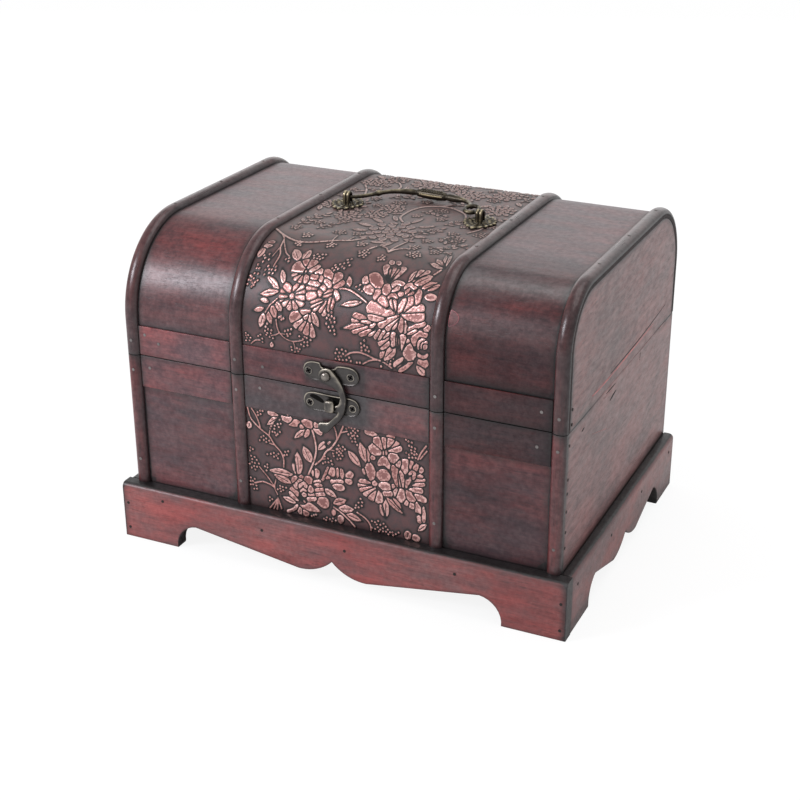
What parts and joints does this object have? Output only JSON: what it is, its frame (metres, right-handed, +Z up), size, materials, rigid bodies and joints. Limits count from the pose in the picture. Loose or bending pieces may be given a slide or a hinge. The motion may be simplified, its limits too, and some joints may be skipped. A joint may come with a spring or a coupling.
{
  "type": "treasure chest box",
  "caption": "Wooden treasure chest with a round-shouldered hinged lid, half-round bands, embossed floral panels, a swing hook latch and a bail handle, on a scalloped plinth.",
  "frame": {"origin": "on the floor, at the centre of the whole object's footprint", "axes": "+X to the right along the front, -Y out of the front, +Z up"},
  "size_m": [0.2864, 0.2118, 0.2017],
  "materials": {
    "mahogany_wood": "dark red-brown stain, satin, rubbed dark at edges and joints",
    "plinth_wood": "red-brown stain, satin, with dark antiquing",
    "inner_wood": "thin dark stain, matt",
    "embossed_leatherette": "embossed, purple-brown ground with rubbed copper relief",
    "antique_bronze": "antique bronze with worn brassy edges",
    "pin_steel": "dull steel pin heads"
  },
  "bodies": {
    "box": {"box_back": "inner_wood", "box_band_left_inner": "mahogany_wood", "box_band_left_outer": "mahogany_wood", "box_band_right_inner": "mahogany_wood", "box_band_right_outer": "mahogany_wood", "box_bottom": "inner_wood", "box_embossed_panel": "embossed_leatherette", "box_end_nails": "pin_steel", "box_front": "mahogany_wood", "box_left_end": "mahogany_wood", "box_nails": "pin_steel", "box_right_end": "mahogany_wood", "box_strip_left": "mahogany_wood", "box_strip_middle": "mahogany_wood", "box_strip_right": "mahogany_wood", "hinge_left_box_leaf": "antique_bronze", "hinge_left_pin": "antique_bronze", "hinge_right_box_leaf": "antique_bronze", "hinge_right_pin": "antique_bronze", "hinge_screws_box": "antique_bronze", "latch_keeper": "antique_bronze", "latch_keeper_screws": "antique_bronze", "plinth_back": "plinth_wood", "plinth_front": "plinth_wood", "plinth_left": "plinth_wood", "plinth_nails": "pin_steel", "plinth_right": "plinth_wood"},
    "lid": {"handle_post_left": "antique_bronze", "handle_post_right": "antique_bronze", "handle_rosette_left": "antique_bronze", "handle_rosette_right": "antique_bronze", "hinge_left_lid_leaf": "antique_bronze", "hinge_right_lid_leaf": "antique_bronze", "hinge_screws_lid": "antique_bronze", "latch_plate": "antique_bronze", "latch_plate_screws": "antique_bronze", "latch_rivet": "antique_bronze", "lid_back_rail": "inner_wood", "lid_band_left_inner": "mahogany_wood", "lid_band_left_outer": "mahogany_wood", "lid_band_right_inner": "mahogany_wood", "lid_band_right_outer": "mahogany_wood", "lid_embossed_panel": "embossed_leatherette", "lid_end_nails": "pin_steel", "lid_front_rail": "inner_wood", "lid_left_end": "mahogany_wood", "lid_nails": "pin_steel", "lid_right_end": "mahogany_wood", "lid_skin": "mahogany_wood", "lid_strip_left": "mahogany_wood", "lid_strip_middle": "mahogany_wood", "lid_strip_right": "mahogany_wood"},
    "hook": {"latch_hook": "antique_bronze"},
    "handle": {"handle_bail": "antique_bronze"}
  },
  "joints": [
    {"name": "lid_hinge", "type": "hinge", "parent": "box", "child": "lid", "pos_m": [0, 0.10375, 0.1202], "axis": [-1, 0, 0], "range_deg": [0, 100]},
    {"name": "hook_swing", "type": "hinge", "parent": "lid", "child": "hook", "pos_m": [-0.0045, -0.10025, 0.1293], "axis": [0, -1, 0], "range_deg": [0, 110]},
    {"name": "bail_turn", "type": "hinge", "parent": "lid", "child": "handle", "pos_m": [0, 0.00325, 0.1995], "axis": [1, 0, 0], "range_deg": [0, 172]}
  ]
}
